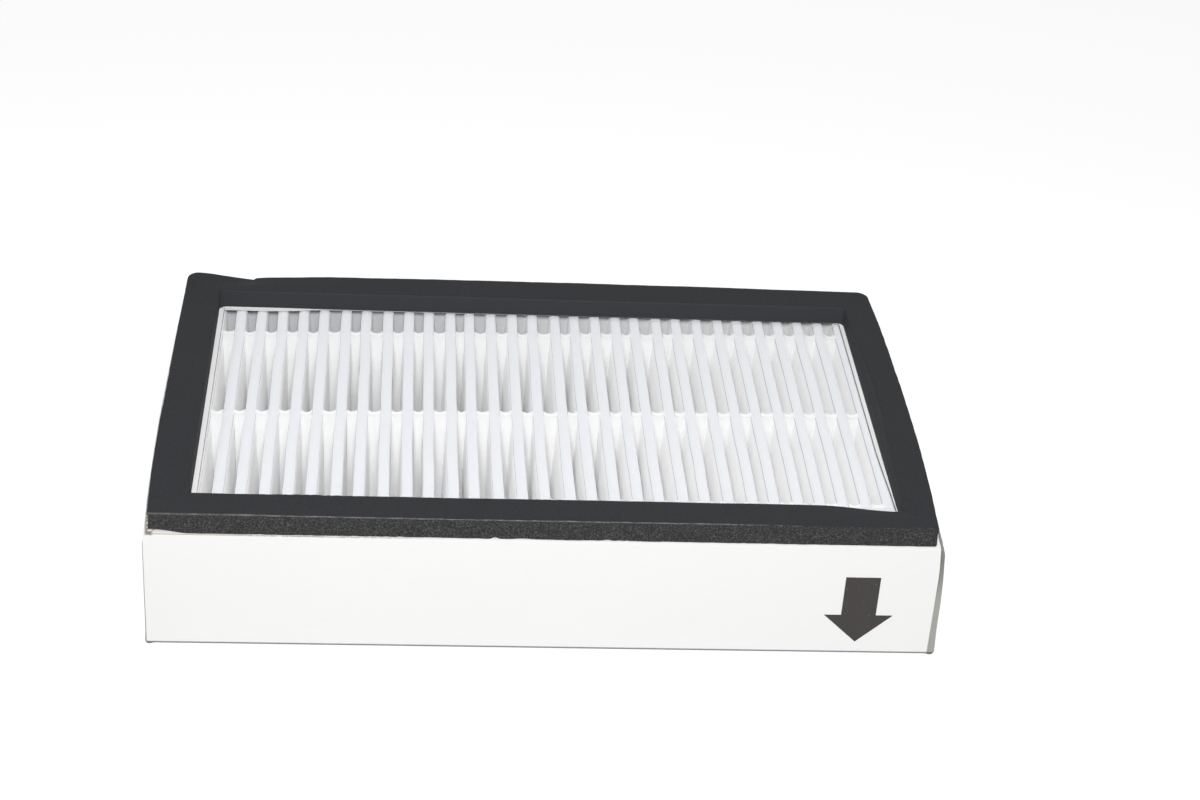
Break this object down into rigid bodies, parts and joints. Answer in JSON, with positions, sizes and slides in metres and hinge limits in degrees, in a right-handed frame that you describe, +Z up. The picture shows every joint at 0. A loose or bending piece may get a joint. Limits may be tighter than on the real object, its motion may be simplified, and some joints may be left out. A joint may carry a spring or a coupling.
{
  "type": "exhaust filter",
  "caption": "Rectangular exhaust filter panel: pleated white paper pack with hot melt spacers in a folded paperboard frame, with a dark foam gasket on its face.",
  "frame": {"origin": "middle of the box in plan, on the plane of the frame's lower face, which the filter lies on", "axes": "+X along the long side, +Y from the printed front wall to the back, +Z up towards the gasket"},
  "size_m": [0.2032, 0.1253, 0.0395],
  "materials": {
    "board": "white clay-coated paperboard, smooth, faint fibre, creased at the folds",
    "foam": "charcoal closed-cell foam, matt skin on top, open pores on the cut sides",
    "filter_paper": "white filter paper, soft and fibrous",
    "hot_melt": "white hot melt glue, waxy",
    "ink": "flat dark printing ink"
  },
  "bodies": {
    "root": {"airflow_arrow": "ink", "back_seal": "hot_melt", "frame": "board", "front_seal": "hot_melt", "gasket": "foam", "left_seal": "hot_melt", "lower_spacers_far": "hot_melt", "lower_spacers_middle": "hot_melt", "lower_spacers_near": "hot_melt", "pleated_sheet": "filter_paper", "right_seal": "hot_melt", "upper_spacers_far": "hot_melt", "upper_spacers_middle": "hot_melt", "upper_spacers_near": "hot_melt"}
  },
  "joints": []
}
